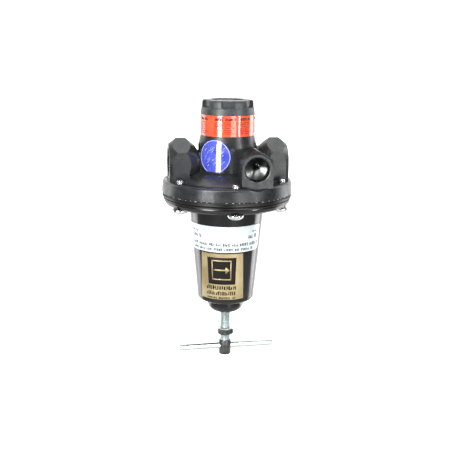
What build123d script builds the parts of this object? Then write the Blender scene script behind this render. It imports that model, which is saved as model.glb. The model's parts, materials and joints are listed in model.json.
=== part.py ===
from build123d import *
import math
import os

# A compressed-air pressure regulator with a T-handle, hung in its pipe line.
# Millimetres and degrees. Z = 0 is the height of the pipe ports. +Z is up and -Y is the front.
# Every piece is modelled about the vertical centre line.
# It is then moved so that the origin is at the inlet's mouth.

INCH = 25.4

# Gaps between pieces
SEATED_GAP = 0.05            # between pieces that touch or screw together
RUNNING_GAP = 0.05           # radial, between a shaft and its guide
STOP_GAP = 0.3               # between a moving piece and what it rests on
OVERCUT = 1.0                # how far a cut runs past the material

# Pipe ports
PORT_REACH = 53.8            # centre line to each main port's mouth
PORT_BORE_R = 13.33          # 3/4 pipe thread, at its crests' outer radius
PORT_DEPTH = 20.0
MOUTH_CHAMFER = (0.8, 0.45)  # radial and axial
BOSS_FLATS = 1.5 * INCH      # across the hexagon
BOSS_RIDGE_IN = 38.5         # where the hexagon's corners begin, out from the centre line
BOSS_FACE_R = 16.8
BOSS_TAPER = 0.75            # radial over axial, round the mouth
NECK_SIZE = (11.0, 14.5)     # half width and half height
NECK_END = 29.0
PEDESTAL_START = 36.0
INLET_WAY = ((-37.0, 0, 2.0), (-13.5, 0, 17.0))
INLET_WAY_R = 8.0
OUTLET_WAY_Z = -1.0
OUTLET_WAY_R = 6.0

# Gauge port, facing the front, to the outlet's side of the centre line
GAUGE_OFFSET = 19.0
GAUGE_REACH = 51.0
GAUGE_FLATS = 28.0
GAUGE_ROOT = 12.0
GAUGE_FACE_R = 13.3
GAUGE_TAPER = 1.1            # radial over axial, round the mouth
SPOT_FACE_R = 17.8
SPOT_FACE_REACH = 50.4
GAUGE_BORE_R = 10.67         # 1/2 pipe thread
GAUGE_DEPTH = 17.0
SENSE_HOLE_R = 3.0
SENSE_HOLE_START = (16.5, -36.0, 2.5)

# Body housing
TOWER_R = 24.5
TOWER_TOP = 43.6
TOWER_FLARE_TOP = 25.0
WAIST_R = 26.7
WAIST_Z = 15.0
FOOT_R = 27.6
FOOT_Z = -6.6
FOOT_FILLET = 1.0
DOME_MIDDLE = (40.0, -11.2)
DOME_R = 48.0
FLANGE_TOP = -15.3
SHOULDER_R = 57.0
SHOULDER_END = (59.0, -17.8)
SHOULDER_ROUND = 2.6
FLANGE_R = 59.5
PARTING_Z = -26.5
CHAMBER_R = 45.0             # diaphragm chamber
CHAMBER_SIDE_Z = -22.0
CHAMBER_ROOF_R = 24.0
CHAMBER_ROOF_Z = -13.5
OUTLET_CHAMBER_R = 14.0
OUTLET_CHAMBER_Z = (-8.0, 4.0)
VALVE_CHAMBER_R = 17.5
VALVE_CHAMBER_FLOOR = 8.0
CAP_THREAD_R = 20.0
CAP_THREAD_BOTTOM = 34.0

# Valve cap
CAP_BASE_R = 24.6
CAP_RING_TOP = (23.9, 49.0)
CROWN_FOOT = (23.5, 49.6)
CROWN_TOP_R = 23.2
CAP_TOP = 56.0
CROWN_ROUND = 1.1
CROWN_POCKETS = 6
CROWN_TURN = -7.5
POCKET_WIDTH = 12.2
POCKET_FLOOR = 49.8
POCKET_DEPTH = 2.8           # radial
CAP_HUB_R = 15.0
CAP_HUB_RECESS = 1.0
GUIDE_R = 6.0                # poppet's upper guide
GUIDE_BORE_TOP = 42.0
GUIDE_TUBE_R = 9.0
GUIDE_TUBE_BOTTOM = 24.0
SPRING_POCKET_R = 14.0
SPRING_POCKET_TOP = 38.0
CAP_RING_WIRE_R = 1.3
CAP_RING_Z = 36.5
CAP_GROOVE_HALF = 1.6

# Valve
SEAT_R = (9.0, 13.9)
SEAT_Z = (4.0, 8.0)
SEAT_LIP_R = (10.4, 9.9)     # at its foot and at its top
SEAT_LIP_TOP = 8.6
STEM_R = 3.0
STEM_BOTTOM = -28.4
STEM_POINT = (0.5, 1.0)      # radial and axial
HOLDER_R = 14.5
HOLDER_Z = (9.7, 16.0)
DISC_R = 12.4
DISC_Z = (SEAT_LIP_TOP + STOP_GAP, 11.9)
GUIDE_TOP = 34.0
POPPET_RING_WIRE_R = 0.9
POPPET_RING_Z = 30.5
POPPET_GROOVE_HALF = 1.2
VALVE_SPRING_R = 11.4
VALVE_SPRING_WIRE_R = 0.9
VALVE_SPRING_TURNS = 5

# Pitot tube between the diaphragm chamber and the outlet
TUBE_R = (1.5, 2.5)
TUBE_X = 9.0
TUBE_Z = (-17.0, -3.0)
TUBE_SLANT = 45.0
TUBE_CUTTER = (20.0, 20.0, 4.0)

# Diaphragm and its centre pieces
SHEET = 1.6
SHEET_R = 58.8
SHEET_DROP = 4.5             # how far the centre hangs below the clamped rim
SHEET_CLAMP_R = 45.0
SHEET_CENTRE_R = 36.0
SHEET_FOLD = (4.0, 1.0, 1.2)  # inner and outer radial setback of the fold, and its rise
SHEET_FOLD_UNDER = (3.0, 0.2)
PLATE_R = 33.0
UPPER_PLATE = 1.5
LOWER_PLATE = 2.0
PLATE_LIP_R = (26.0, 28.0)
PLATE_LIP = 2.5
PLATE_EDGE = 1.0
RELIEF_STEM_R = 5.0
RELIEF_HEAD_R = 7.5
RELIEF_HOLE_R = 1.6
RELIEF_HEAD_BEVEL = (0.6, 0.4)
RELIEF_STEM_END = 1.5        # below the plate nut
PLATE_NUT_FLATS = 14.3
PLATE_NUT_HEIGHT = 4.0

# Bonnet
BONNET_FLANGE_TOP = PARTING_Z - SHEET
RIDGES = ((-28.9, -30.3, 59.2), (-31.6, -33.0, 58.3))  # top, bottom and radius
RIDGE_HEIGHT = 0.8
RIDGE_SLOPE = 0.1
BONNET_RIM = ((57.8, -34.2), (56.8, -36.8), (55.2, -38.2))
BONNET_FLANGE_BOTTOM = -38.2
BONNET_FLANGE_ROOT = 38.5
BONNET_SHELL = ((34.7, -40.0), (33.4, -52.0), (30.5, -83.7), (26.7, -123.0), (26.3, -129.0))
BONNET_WALL = 3.6
BONNET_FLOOR_Z = -124.0
BONNET_CORNER = 3.0
CAVITY_LEDGE_Z = BONNET_FLANGE_TOP - 2.0
CAVITY_MOUTH = (39.2, -34.0)
NOSE_R = 17.0
NOSE_STEP_Z = -134.6
NOSE_MIDDLE = (14.4, -139.6)
NOSE_TIP_R = 9.0
NOSE_TIP_Z = -142.0
BUSHING_R = 7.5
BUSHING_COLLAR_R = 10.0
BUSHING_COLLAR_TOP = -122.0
VENT_R = 1.6
VENT_Z = -45.0

# Flange screws, 1/4 inch
SCREW_COUNT = 6
SCREW_CIRCLE_R = 52.4
SCREW_R = INCH / 8
SCREW_TIP_Z = FLANGE_TOP + 3.0
SCREW_HEAD_R = 7.2
SCREW_HEAD = 4.5
SCREW_HEAD_EDGE = 1.4
SCREW_HEAD_FLAT_R = 2.2
SCREW_HEAD_DOME = 7.0         # the dome's radius
SCREW_POINT = 0.6

# Control spring, spring rest and adjusting screw, 3/8 inch
SPRING_R = 19.0
SPRING_WIRE_R = 2.4
SPRING_TURNS = 7
REST_TOP = -112.0
REST_R = 22.0
REST_THICKNESS = 4.0
REST_BOSS_R = 15.0
REST_BOSS = 3.0
REST_BOSS_EDGE = 1.0
REST_CUP_R = 8.0
REST_BOTTOM = -120.5
BALL_R = INCH / 8
BALL_Z = -119.0
THREAD_R = 3 * INCH / 16
SCREW_TOP_Z = BALL_Z - BALL_R - SEATED_GAP
SCREW_END_CHAMFER = 0.8

# Jam nut, washer and T-handle
NUT_FLATS = 14.3
NUT_Z = (-165.7, -160.2)
NUT_TURN = 30.0
NUT_CHAMFER_R = 7.35
NUT_CHAMFER = 0.7
WASHER_R = 8.2
WASHER = 1.0
HUB_R = 5.8
HUB_Z = (-186.5, -172.3)
HUB_CHAMFER = 0.7
BAR_R = INCH / 8
BAR_LENGTH = 91.2
BAR_SHIFT = 1.4              # the bar slides in its hole and stands a little towards the outlet
BAR_Z = -178.2
BAR_TURN = 2.7
BAR_CHAMFER = 0.6

# Labels
LABEL = 0.3
RED_BAND_Z = (25.1, 43.4)
WHITE_Z = (-78.0, -53.8)
WHITE_SPAN = (-93.5, 56.5)   # degrees from the front, towards the outlet
GOLD_Z = (-123.5, -79.3)
GOLD_WIDTH = 40.2            # seen from straight ahead of it
GOLD_TURN = -16.2
FOIL_BLANK = 80.0            # degrees either side of the middle of the foil that it is cut from
STICKER_R = 14.9
STICKER_Z = 7.4
STICKER_TURN = -34.5
STICKER_BLANK = 13.1         # half height of the skin that it is punched from


def ring_profile(points):
    """A closed face in the XZ plane, from (radius, height) points."""
    return make_face(Plane.XZ * Polyline(*points, close=True))


def turned(points, arc=360.0):
    """A solid of revolution about Z."""
    return revolve(ring_profile(points), axis=Axis.Z, revolution_arc=arc)


def tube(r_in, r_out, z_low, z_high):
    return turned([(r_in, z_low), (r_out, z_low), (r_out, z_high), (r_in, z_high)])


def rod(radius, z_low, z_high):
    return Pos(0, 0, z_low) * Cylinder(radius, z_high - z_low, align=(Align.CENTER, Align.CENTER, Align.MIN))


def hexagon(flats, z_low, z_high, turn=0.0):
    """A hexagonal prism along Z with its corners on the X axis, turned about Z."""
    outline = RegularPolygon(flats / 2, 6, major_radius=False, rotation=turn)
    return extrude(Pos(0, 0, z_low) * outline, z_high - z_low)


def along_x(shape):
    """Lays a shape built along +Z so that it runs along +X, keeping its own X axis upright."""
    return Rot(0, 90, 0) * shape


def at_gauge(shape):
    """Moves a shape that runs along +X onto the gauge port's axis, facing the front."""
    return Pos(GAUGE_OFFSET, 0, 0) * Rot(0, 0, -90) * shape


def around(count, shape):
    """Copies of a shape at equal angles about Z."""
    return [Rot(0, 0, step * 360 / count) * shape for step in range(count)]


def coil(radius, wire_r, z_low, z_high, turns):
    """An open compression spring."""
    height = z_high - z_low - 2 * wire_r
    path = Helix(height / turns, height, radius)
    wire = Plane(origin=path @ 0, z_dir=path % 0) * Circle(wire_r)
    return Pos(0, 0, z_low + wire_r) * sweep(wire, path=path)


def boss_envelope(flats, face_r, taper, reach, foot):
    """What a hexagonal boss is turned down to: foot points, then full corners, then a tapered mouth."""
    corner_r = flats / math.sqrt(3)
    return turned([
        *foot,
        (corner_r, reach - (corner_r - face_r) / taper),
        (face_r, reach),
        (0, reach),
    ])


def pedestal(start, reach, flats, face_r, taper):
    """The straight sides under a boss, down to the flange, with the mouth's taper carried on."""
    half = flats / 2
    bevel = (half - face_r) / taper
    plan = Polyline(
        (start, -half),
        (reach - bevel, -half),
        (reach, -face_r),
        (reach, face_r),
        (reach - bevel, half),
        (start, half),
        close=True,
    )
    return Pos(0, 0, FLANGE_TOP - OVERCUT) * extrude(make_face(plan), OVERCUT - FLANGE_TOP)


def main_boss():
    """One hexagonal pipe boss with its neck and its pedestal, running out along +X."""
    corner_r = BOSS_FLATS / math.sqrt(3)
    neck_width, neck_height = NECK_SIZE
    foot = [(0, NECK_END - neck_height), (neck_height, NECK_END), (corner_r, BOSS_RIDGE_IN)]
    envelope = boss_envelope(BOSS_FLATS, BOSS_FACE_R, BOSS_TAPER, PORT_REACH, foot)
    head = along_x(hexagon(BOSS_FLATS, 0, PORT_REACH) & envelope)
    neck = along_x(extrude(Ellipse(neck_height, neck_width), NECK_END + OVERCUT))
    return head + neck + pedestal(PEDESTAL_START, PORT_REACH, BOSS_FLATS, BOSS_FACE_R, BOSS_TAPER)


def gauge_boss():
    """The gauge boss: a hexagon above, straight sides and a flat face down to the flange."""
    foot = [(0, GAUGE_ROOT), (GAUGE_FLATS / math.sqrt(3), GAUGE_ROOT)]
    envelope = boss_envelope(GAUGE_FLATS, GAUGE_FACE_R, GAUGE_TAPER, GAUGE_REACH, foot)
    head = along_x(hexagon(GAUGE_FLATS, GAUGE_ROOT, GAUGE_REACH) & envelope)
    return at_gauge(head + pedestal(GAUGE_ROOT, GAUGE_REACH, GAUGE_FLATS, GAUGE_FACE_R, GAUGE_TAPER))


def port_bore(bore_r, depth, reach):
    """A pipe port's plain bore with its chamfered mouth, running out along +X."""
    widening, chamfer_depth = MOUTH_CHAMFER
    mouth_r = bore_r + widening
    return along_x(turned([
        (0, reach - depth),
        (bore_r, reach - depth),
        (bore_r, reach - chamfer_depth),
        (mouth_r, reach),
        (mouth_r, reach + OVERCUT),
        (0, reach + OVERCUT),
    ]))


def drilled(start, end, radius):
    """A round drilling between two points."""
    way = Vector(*end) - Vector(*start)
    drill = Cylinder(radius, way.length, align=(Align.CENTER, Align.CENTER, Align.MIN))
    return Plane(origin=start, z_dir=way) * drill


def body_outside():
    dome_start = (FOOT_R + FOOT_FILLET, FOOT_Z - FOOT_FILLET)
    tower = Polyline(
        (0, TOWER_TOP),
        (TOWER_R, TOWER_TOP),
        (TOWER_R, TOWER_FLARE_TOP),
        (WAIST_R, WAIST_Z),
        (FOOT_R, FOOT_Z),
        dome_start,
    )
    dome = ThreePointArc(dome_start, DOME_MIDDLE, (DOME_R, FLANGE_TOP))
    ledge = Line((DOME_R, FLANGE_TOP), (SHOULDER_R, FLANGE_TOP))
    shoulder = RadiusArc((SHOULDER_R, FLANGE_TOP), SHOULDER_END, SHOULDER_ROUND)
    rim = Polyline(SHOULDER_END, (FLANGE_R, PARTING_Z), (0, PARTING_Z), (0, TOWER_TOP))
    section = make_face(Plane.XZ * (tower + dome + ledge + shoulder + rim))
    return revolve(section, axis=Axis.Z)


def body_cavities():
    """Everything that is hollow in the body housing."""
    z_low, z_high = OUTLET_CHAMBER_Z
    chamber = turned([
        (0, PARTING_Z - OVERCUT),
        (CHAMBER_R, PARTING_Z - OVERCUT),
        (CHAMBER_R, CHAMBER_SIDE_Z),
        (CHAMBER_ROOF_R, CHAMBER_ROOF_Z),
        (0, CHAMBER_ROOF_Z),
    ])
    outlet = rod(OUTLET_CHAMBER_R, z_low, z_high)
    seat_bore = rod(SEAT_R[1] + SEATED_GAP, z_high - OVERCUT, VALVE_CHAMBER_FLOOR + OVERCUT)
    valve = rod(VALVE_CHAMBER_R, VALVE_CHAMBER_FLOOR, TOWER_TOP + OVERCUT)
    thread = rod(CAP_THREAD_R + SEATED_GAP, CAP_THREAD_BOTTOM, TOWER_TOP + OVERCUT)
    stem_bore = rod(STEM_R + RUNNING_GAP, CHAMBER_ROOF_Z - OVERCUT, z_low + OVERCUT)
    tube_bore = Pos(TUBE_X, 0, 0) * rod(TUBE_R[1] + SEATED_GAP, CHAMBER_ROOF_Z - OVERCUT, z_low + OVERCUT)
    port_end = PORT_REACH - PORT_DEPTH
    inlet_way = drilled(*INLET_WAY, INLET_WAY_R)
    outlet_way = drilled((0, 0, OUTLET_WAY_Z), (port_end + OVERCUT, 0, OUTLET_WAY_Z), OUTLET_WAY_R)
    gauge_way = drilled(SENSE_HOLE_START, (0, 0, OUTLET_WAY_Z), SENSE_HOLE_R)
    main_port = port_bore(PORT_BORE_R, PORT_DEPTH, PORT_REACH)
    gauge_port = at_gauge(port_bore(GAUGE_BORE_R, GAUGE_DEPTH, GAUGE_REACH))
    hole = rod(SCREW_R + SEATED_GAP, PARTING_Z - OVERCUT, 0)
    holes = around(SCREW_COUNT, Pos(0, -SCREW_CIRCLE_R, 0) * hole)
    return [
        chamber,
        outlet,
        seat_bore,
        valve,
        thread,
        stem_bore,
        tube_bore,
        inlet_way,
        outlet_way,
        gauge_way,
        main_port,
        Rot(0, 0, 180) * main_port,
        gauge_port,
        *holes,
    ]


def body_housing():
    boss = main_boss()
    spot_face = at_gauge(along_x(rod(SPOT_FACE_R, SPOT_FACE_REACH, FLANGE_R + OVERCUT)))
    solid = body_outside() + boss + Rot(0, 0, 180) * boss - spot_face + gauge_boss()
    for cavity in body_cavities():
        solid -= cavity
    return solid


def valve_cap():
    """The slotted plug that closes the valve chamber and guides the poppet."""
    groove_r = CAP_THREAD_R - 2 * CAP_RING_WIRE_R
    cap = turned([
        (0, GUIDE_BORE_TOP),
        (GUIDE_R + RUNNING_GAP, GUIDE_BORE_TOP),
        (GUIDE_R + RUNNING_GAP, GUIDE_TUBE_BOTTOM),
        (GUIDE_TUBE_R, GUIDE_TUBE_BOTTOM),
        (GUIDE_TUBE_R, SPRING_POCKET_TOP),
        (SPRING_POCKET_R, SPRING_POCKET_TOP),
        (SPRING_POCKET_R, CAP_THREAD_BOTTOM + SEATED_GAP),
        (CAP_THREAD_R, CAP_THREAD_BOTTOM + SEATED_GAP),
        (CAP_THREAD_R, CAP_RING_Z - CAP_GROOVE_HALF),
        (groove_r, CAP_RING_Z - CAP_GROOVE_HALF),
        (groove_r, CAP_RING_Z + CAP_GROOVE_HALF),
        (CAP_THREAD_R, CAP_RING_Z + CAP_GROOVE_HALF),
        (CAP_THREAD_R, TOWER_TOP + SEATED_GAP),
        (CAP_BASE_R, TOWER_TOP + SEATED_GAP),
        CAP_RING_TOP,
        CROWN_FOOT,
        (CROWN_TOP_R, CAP_TOP - CROWN_ROUND),
        (CROWN_TOP_R - CROWN_ROUND, CAP_TOP),
        (CAP_HUB_R, CAP_TOP),
        (CAP_HUB_R - CAP_HUB_RECESS, CAP_TOP - CAP_HUB_RECESS),
        (0, CAP_TOP - CAP_HUB_RECESS),
    ])
    pocket = Pos(0, POCKET_DEPTH - CROWN_TOP_R, POCKET_FLOOR) * Box(
        POCKET_WIDTH,
        2 * POCKET_DEPTH,
        CAP_TOP - POCKET_FLOOR + OVERCUT,
        align=(Align.CENTER, Align.MAX, Align.MIN),
    )
    for cut in around(CROWN_POCKETS, Rot(0, 0, CROWN_TURN) * pocket):
        cap -= cut
    return cap


def o_ring(centre_r, wire_r, z):
    return Pos(0, 0, z) * Torus(centre_r, wire_r)


def cap_o_ring():
    return o_ring(CAP_THREAD_R - CAP_RING_WIRE_R, CAP_RING_WIRE_R - SEATED_GAP / 2, CAP_RING_Z)


def poppet():
    groove_r = GUIDE_R - 2 * POPPET_RING_WIRE_R + SEATED_GAP
    recess_r = DISC_R + SEATED_GAP
    return turned([
        (0, STEM_BOTTOM),
        (STEM_R - STEM_POINT[0], STEM_BOTTOM),
        (STEM_R, STEM_BOTTOM + STEM_POINT[1]),
        (STEM_R, DISC_Z[1] + SEATED_GAP),
        (recess_r, DISC_Z[1] + SEATED_GAP),
        (recess_r, HOLDER_Z[0]),
        (HOLDER_R, HOLDER_Z[0]),
        (HOLDER_R, HOLDER_Z[1]),
        (GUIDE_R, HOLDER_Z[1]),
        (GUIDE_R, POPPET_RING_Z - POPPET_GROOVE_HALF),
        (groove_r, POPPET_RING_Z - POPPET_GROOVE_HALF),
        (groove_r, POPPET_RING_Z + POPPET_GROOVE_HALF),
        (GUIDE_R, POPPET_RING_Z + POPPET_GROOVE_HALF),
        (GUIDE_R, GUIDE_TOP),
        (0, GUIDE_TOP),
    ])


def poppet_disc():
    """The rubber face that closes on the seat's lip."""
    return tube(STEM_R + SEATED_GAP, DISC_R, *DISC_Z)


def poppet_o_ring():
    wire_r = POPPET_RING_WIRE_R - SEATED_GAP
    return o_ring(GUIDE_R + RUNNING_GAP / 2 - POPPET_RING_WIRE_R + SEATED_GAP / 2, wire_r, POPPET_RING_Z)


def valve_seat():
    r_in, r_out = SEAT_R
    z_low, z_high = SEAT_Z
    return turned([
        (r_in, z_low),
        (r_out, z_low),
        (r_out, z_high),
        (SEAT_LIP_R[0], z_high),
        (SEAT_LIP_R[1], SEAT_LIP_TOP),
        (r_in, SEAT_LIP_TOP),
    ])


def aspirator_tube():
    """The pitot tube, cut on a slant at its outlet end."""
    pipe = tube(*TUBE_R, *TUBE_Z)
    cutter = Box(*TUBE_CUTTER, align=(Align.CENTER, Align.CENTER, Align.MIN))
    slant = Pos(0, 0, TUBE_Z[1]) * Rot(0, TUBE_SLANT, 0) * cutter
    return Pos(TUBE_X, 0, 0) * (pipe - slant)


def diaphragm():
    """The rubber sheet, clamped at its rim and dished to the plates."""
    rim = PARTING_Z - SEATED_GAP
    under = PARTING_Z - SHEET + SEATED_GAP
    fold_in, fold_out, fold_rise = SHEET_FOLD
    under_in, under_out = SHEET_FOLD_UNDER
    sheet = turned([
        (RELIEF_STEM_R + SEATED_GAP, rim - SHEET_DROP),
        (SHEET_CENTRE_R, rim - SHEET_DROP),
        (SHEET_CLAMP_R - fold_in, rim - SHEET_DROP + fold_rise),
        (SHEET_CLAMP_R - fold_out, rim),
        (SHEET_R, rim),
        (SHEET_R, under),
        (SHEET_CLAMP_R - under_out, under),
        (SHEET_CLAMP_R - under_in, under - SHEET_DROP + fold_rise),
        (SHEET_CENTRE_R, under - SHEET_DROP),
        (RELIEF_STEM_R + SEATED_GAP, under - SHEET_DROP),
    ])
    hole = Pos(0, -SCREW_CIRCLE_R, 0) * rod(SCREW_R + SEATED_GAP, PARTING_Z - 2 * SHEET, PARTING_Z + OVERCUT)
    for cut in around(SCREW_COUNT, hole):
        sheet -= cut
    return sheet


def plate_heights():
    """Top and bottom of the diaphragm's centre."""
    top = PARTING_Z - SHEET_DROP
    return top, top - SHEET


def diaphragm_plate_upper():
    top, _ = plate_heights()
    return tube(RELIEF_STEM_R + SEATED_GAP, PLATE_R, top, top + UPPER_PLATE)


def diaphragm_plate_lower():
    _, bottom = plate_heights()
    low = bottom - LOWER_PLATE
    return turned([
        (RELIEF_STEM_R + SEATED_GAP, bottom),
        (PLATE_R, bottom),
        (PLATE_R, low + PLATE_EDGE),
        (PLATE_R - PLATE_EDGE, low),
        (PLATE_LIP_R[1], low),
        (PLATE_LIP_R[1], low - PLATE_LIP),
        (PLATE_LIP_R[0], low - PLATE_LIP),
        (PLATE_LIP_R[0], low),
        (RELIEF_STEM_R + SEATED_GAP, low),
    ])


def relief_seat():
    """The centre stud: its top face is the vent's seat and its bore is the vent."""
    top, bottom = plate_heights()
    head_bottom = top + UPPER_PLATE + SEATED_GAP
    end = bottom - LOWER_PLATE - PLATE_NUT_HEIGHT - RELIEF_STEM_END
    bevel, bevel_depth = RELIEF_HEAD_BEVEL
    return turned([
        (RELIEF_HOLE_R, end),
        (RELIEF_STEM_R, end),
        (RELIEF_STEM_R, head_bottom),
        (RELIEF_HEAD_R, head_bottom),
        (RELIEF_HEAD_R, STEM_BOTTOM - STOP_GAP - bevel_depth),
        (RELIEF_HEAD_R - bevel, STEM_BOTTOM - STOP_GAP),
        (RELIEF_HOLE_R, STEM_BOTTOM - STOP_GAP),
    ])


def plate_nut():
    _, bottom = plate_heights()
    high = bottom - LOWER_PLATE - SEATED_GAP
    low = high - PLATE_NUT_HEIGHT
    hole = rod(RELIEF_STEM_R + SEATED_GAP, low - OVERCUT, high + OVERCUT)
    return hexagon(PLATE_NUT_FLATS, low, high) - hole


def bonnet_outside():
    groove_r = RIDGES[0][2] - RIDGE_HEIGHT
    outline = [(0, BONNET_FLANGE_TOP), (groove_r, BONNET_FLANGE_TOP)]
    for high, low, radius in RIDGES:
        outline += [
            (radius - RIDGE_HEIGHT, high),
            (radius, high - RIDGE_SLOPE),
            (radius, low + RIDGE_SLOPE),
            (radius - RIDGE_HEIGHT, low),
        ]
    shell_bottom = BONNET_SHELL[-1][1]
    outline += [*BONNET_RIM, (BONNET_FLANGE_ROOT, BONNET_FLANGE_BOTTOM), *BONNET_SHELL, (0, shell_bottom)]
    solid = turned(outline)
    bottom_edge = solid.edges().filter_by(GeomType.CIRCLE).group_by(Axis.Z)[0]
    solid = fillet(bottom_edge, BONNET_CORNER)
    nose_arc = ThreePointArc((NOSE_R, NOSE_STEP_Z), NOSE_MIDDLE, (NOSE_TIP_R, NOSE_TIP_Z))
    nose_rest = Polyline(
        (NOSE_TIP_R, NOSE_TIP_Z),
        (0, NOSE_TIP_Z),
        (0, BONNET_FLOOR_Z),
        (NOSE_R, BONNET_FLOOR_Z),
        (NOSE_R, NOSE_STEP_Z),
    )
    nose = revolve(make_face(Plane.XZ * (nose_rest + nose_arc)), axis=Axis.Z)
    return solid + nose


def bonnet():
    """The spring housing with its clamping flange and screw nose."""
    walls = [(radius - BONNET_WALL, z) for radius, z in BONNET_SHELL[:-1]]
    floor_r = walls[-1][0]
    cavity = turned([
        (0, BONNET_FLANGE_TOP + OVERCUT),
        (CHAMBER_R, BONNET_FLANGE_TOP + OVERCUT),
        (CHAMBER_R, CAVITY_LEDGE_Z),
        CAVITY_MOUTH,
        *walls,
        (floor_r, BONNET_FLOOR_Z),
        (0, BONNET_FLOOR_Z),
    ])
    solid = bonnet_outside() - cavity
    solid -= rod(BUSHING_R + SEATED_GAP, NOSE_TIP_Z - OVERCUT, BONNET_FLOOR_Z + OVERCUT)
    solid -= drilled((0, 0, VENT_Z), (0, FLANGE_R, VENT_Z), VENT_R)
    hole = Pos(0, -SCREW_CIRCLE_R, 0) * rod(SCREW_R + SEATED_GAP, BONNET_FLANGE_BOTTOM - OVERCUT, PARTING_Z)
    for cut in around(SCREW_COUNT, hole):
        solid -= cut
    return solid


def bonnet_bushing():
    """The threaded bush that the adjusting screw runs in."""
    bore_r = THREAD_R + RUNNING_GAP
    return turned([
        (bore_r, NOSE_TIP_Z),
        (BUSHING_R, NOSE_TIP_Z),
        (BUSHING_R, BONNET_FLOOR_Z + SEATED_GAP),
        (BUSHING_COLLAR_R, BONNET_FLOOR_Z + SEATED_GAP),
        (BUSHING_COLLAR_R, BUSHING_COLLAR_TOP),
        (bore_r, BUSHING_COLLAR_TOP),
    ])


def flange_screws():
    """Six equal screws, put in from below."""
    seat = BONNET_FLANGE_BOTTOM - SEATED_GAP
    crown = seat - SCREW_HEAD
    edge = seat - SCREW_HEAD_EDGE
    side = Polyline(
        (SCREW_HEAD_FLAT_R, crown),
        (0, crown),
        (0, SCREW_TIP_Z),
        (SCREW_R - SCREW_POINT, SCREW_TIP_Z),
        (SCREW_R, SCREW_TIP_Z - SCREW_POINT),
        (SCREW_R, seat),
        (SCREW_HEAD_R, seat),
        (SCREW_HEAD_R, edge),
    )
    dome = RadiusArc((SCREW_HEAD_FLAT_R, crown), (SCREW_HEAD_R, edge), -SCREW_HEAD_DOME)
    screw = revolve(make_face(Plane.XZ * (side + dome)), axis=Axis.Z)
    return Compound(children=around(SCREW_COUNT, Pos(0, -SCREW_CIRCLE_R, 0) * screw))


def valve_spring():
    return coil(
        VALVE_SPRING_R,
        VALVE_SPRING_WIRE_R,
        HOLDER_Z[1] + SEATED_GAP,
        SPRING_POCKET_TOP - SEATED_GAP,
        VALVE_SPRING_TURNS,
    )


def control_spring():
    _, bottom = plate_heights()
    return coil(
        SPRING_R,
        SPRING_WIRE_R,
        REST_TOP + SEATED_GAP,
        bottom - LOWER_PLATE - SEATED_GAP,
        SPRING_TURNS,
    )


def spring_rest():
    rest_low = REST_TOP - REST_THICKNESS
    rest = turned([
        (0, REST_BOTTOM),
        (REST_CUP_R, REST_BOTTOM),
        (REST_CUP_R, rest_low),
        (REST_R, rest_low),
        (REST_R, REST_TOP),
        (REST_BOSS_R, REST_TOP),
        (REST_BOSS_R - REST_BOSS_EDGE, REST_TOP + REST_BOSS),
        (0, REST_TOP + REST_BOSS),
    ])
    ball_r = BALL_R + SEATED_GAP
    return rest - rod(ball_r, REST_BOTTOM - OVERCUT, BALL_Z) - Pos(0, 0, BALL_Z) * Sphere(ball_r)


def thrust_ball():
    return Pos(0, 0, BALL_Z) * Sphere(BALL_R)


def adjusting_screw():
    """The screw with its cross-drilled handle hub."""
    screw = turned([
        (0, HUB_Z[0]),
        (HUB_R - HUB_CHAMFER, HUB_Z[0]),
        (HUB_R, HUB_Z[0] + HUB_CHAMFER),
        (HUB_R, HUB_Z[1] - HUB_CHAMFER),
        (HUB_R - HUB_CHAMFER, HUB_Z[1]),
        (THREAD_R, HUB_Z[1]),
        (THREAD_R, SCREW_TOP_Z - SCREW_END_CHAMFER),
        (THREAD_R - SCREW_END_CHAMFER, SCREW_TOP_Z),
        (0, SCREW_TOP_Z),
    ])
    drill = along_x(rod(BAR_R + SEATED_GAP, -2 * HUB_R, 2 * HUB_R))
    return screw - Pos(0, 0, BAR_Z) * Rot(0, 0, BAR_TURN) * drill


def t_bar():
    half = BAR_LENGTH / 2
    bar = turned([
        (0, -half),
        (BAR_R - BAR_CHAMFER, -half),
        (BAR_R, -half + BAR_CHAMFER),
        (BAR_R, half - BAR_CHAMFER),
        (BAR_R - BAR_CHAMFER, half),
        (0, half),
    ])
    return Pos(0, 0, BAR_Z) * Rot(0, 0, BAR_TURN) * Pos(BAR_SHIFT, 0, 0) * along_x(bar)


def jam_nut():
    low, high = NUT_Z
    corner_r = NUT_FLATS / math.sqrt(3)
    rounding = turned([
        (0, low),
        (NUT_CHAMFER_R, low),
        (corner_r, low + NUT_CHAMFER),
        (corner_r, high - NUT_CHAMFER),
        (NUT_CHAMFER_R, high),
        (0, high),
    ])
    bore = rod(THREAD_R + RUNNING_GAP, low - OVERCUT, high + OVERCUT)
    return (hexagon(NUT_FLATS, low, high, NUT_TURN) & rounding) - bore


def nut_washer():
    low = NUT_Z[1] + SEATED_GAP
    return tube(THREAD_R + RUNNING_GAP, WASHER_R, low, low + WASHER)


def wrapped(points, span):
    """A thin skin turned about Z between two angles, measured from the front towards +X."""
    start, end = span
    skin = turned(points, end - start)
    return Rot(0, 0, start - 90) * skin


def bonnet_radius(z):
    """The bonnet's outside radius at a height, from its turned outline."""
    for (r_high, z_high), (r_low, z_low) in zip(BONNET_SHELL, BONNET_SHELL[1:]):
        if z_low <= z <= z_high:
            return r_low + (r_high - r_low) * (z - z_low) / (z_high - z_low)
    raise ValueError(z)


def bonnet_label(heights, span):
    """A foil wrapped on the bonnet's taper."""
    low, high = heights
    bends = [z for _, z in BONNET_SHELL if low < z < high]
    levels = [high, *bends, low]
    inner = [(bonnet_radius(z) + SEATED_GAP, z) for z in levels]
    outer = [(radius + LABEL, z) for radius, z in reversed(inner)]
    return wrapped(inner + outer, span)


def white_label():
    return bonnet_label(WHITE_Z, WHITE_SPAN)


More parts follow.
